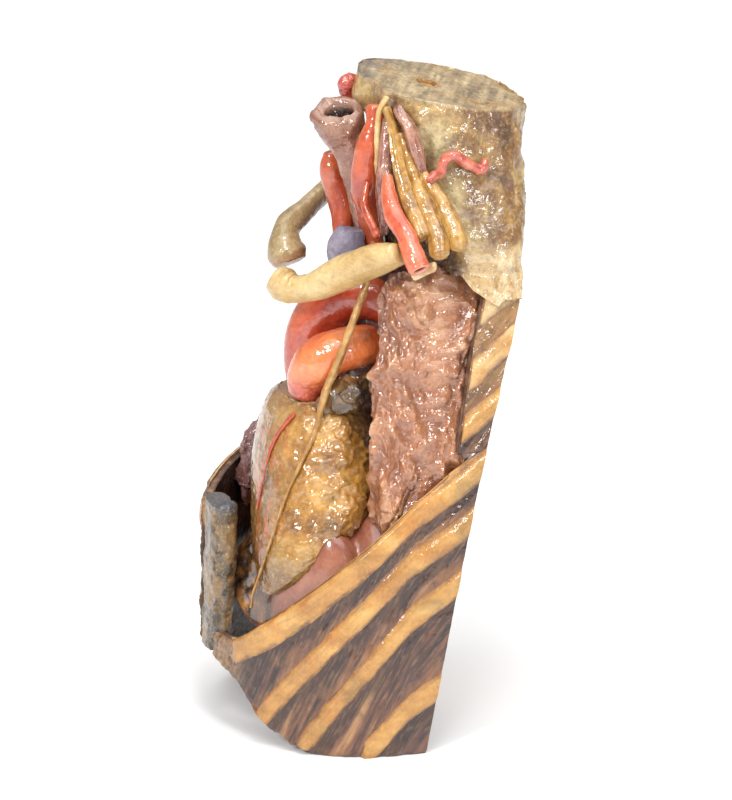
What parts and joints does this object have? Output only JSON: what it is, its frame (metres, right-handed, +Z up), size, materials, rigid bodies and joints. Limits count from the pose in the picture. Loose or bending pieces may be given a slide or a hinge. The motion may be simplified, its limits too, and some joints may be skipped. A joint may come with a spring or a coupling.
{
  "type": "torso anatomy model",
  "caption": "Life-size neck and chest prosection on its own cut base: collar bones, great vessels, nerves, heart, lungs and diaphragm inside a cutaway rib wall.",
  "frame": {"origin": "centre of the bounding box at the base, in the plane that the model stands on", "axes": "+X towards the torso's own left, -Y towards its front, +Z up to the neck"},
  "size_m": [0.2224, 0.2115, 0.4233],
  "materials": {
    "airway_brown": "mauve-brown resin",
    "artery_red": "glossy orange-red resin",
    "auricle_brown": "lumpy olive-brown resin",
    "bone": "cream painted resin",
    "diaphragm_pink": "glossy pink-brown resin",
    "heart_fat": "glossy ochre and brown resin",
    "lung_brown": "wet-looking pink-brown resin",
    "muscle_pink": "mauve-brown resin with pale striations",
    "muscle_purple": "fibrous purple-brown resin",
    "neck_tissue": "olive and purple-brown streaked resin",
    "nerve_yellow": "yellow-ochre resin",
    "rib_bone": "ochre painted resin, soft sheen",
    "vein_blue": "matt blue-grey resin"
  },
  "bodies": {
    "root": {"aorta": "artery_red", "backbone": "bone", "brachiocephalic_vein": "vein_blue", "breastbone": "bone", "diaphragm": "diaphragm_pink", "heart": "heart_fat", "left_auricle": "auricle_brown", "left_back_muscle": "muscle_purple", "left_carotid_artery": "artery_red", "left_clavicle": "bone", "left_coronary_artery": "artery_red", "left_first_rib_end": "bone", "left_front_plexus_cord": "nerve_yellow", "left_front_scalene_muscle": "muscle_pink", "left_lower_chest_muscle": "muscle_purple", "left_lung": "lung_brown", "left_middle_plexus_cord": "nerve_yellow", "left_middle_scalene_muscle": "muscle_pink", "left_neck_artery": "artery_red", "left_phrenic_nerve": "nerve_yellow", "left_pulmonary_vein": "auricle_brown", "left_rear_plexus_cord": "nerve_yellow", "left_rib_3": "rib_bone", "left_rib_4": "rib_bone", "left_rib_5": "rib_bone", "left_rib_6": "rib_bone", "left_rib_7": "rib_bone", "left_rib_8": "rib_bone", "left_rib_9": "rib_bone", "left_subclavian_artery": "artery_red", "left_thyrocervical_artery": "artery_red", "left_upper_chest_muscle": "muscle_purple", "left_vagus_nerve": "nerve_yellow", "neck_muscles": "neck_tissue", "pulmonary_trunk": "artery_red", "right_back_muscle": "muscle_purple", "right_carotid_artery": "artery_red", "right_clavicle": "bone", "right_front_plexus_cord": "nerve_yellow", "right_front_scalene_muscle": "muscle_pink", "right_lower_chest_muscle": "muscle_purple", "right_lung": "lung_brown", "right_middle_plexus_cord": "nerve_yellow", "right_rear_plexus_cord": "nerve_yellow", "right_rib_3": "rib_bone", "right_rib_4": "rib_bone", "right_rib_5": "rib_bone", "right_rib_6": "rib_bone", "right_rib_7": "rib_bone", "right_rib_8": "rib_bone", "right_rib_9": "rib_bone", "right_upper_chest_muscle": "muscle_purple", "right_vertebral_artery": "artery_red", "spinal_cord": "nerve_yellow", "superior_vena_cava": "vein_blue", "windpipe": "airway_brown"}
  },
  "joints": []
}
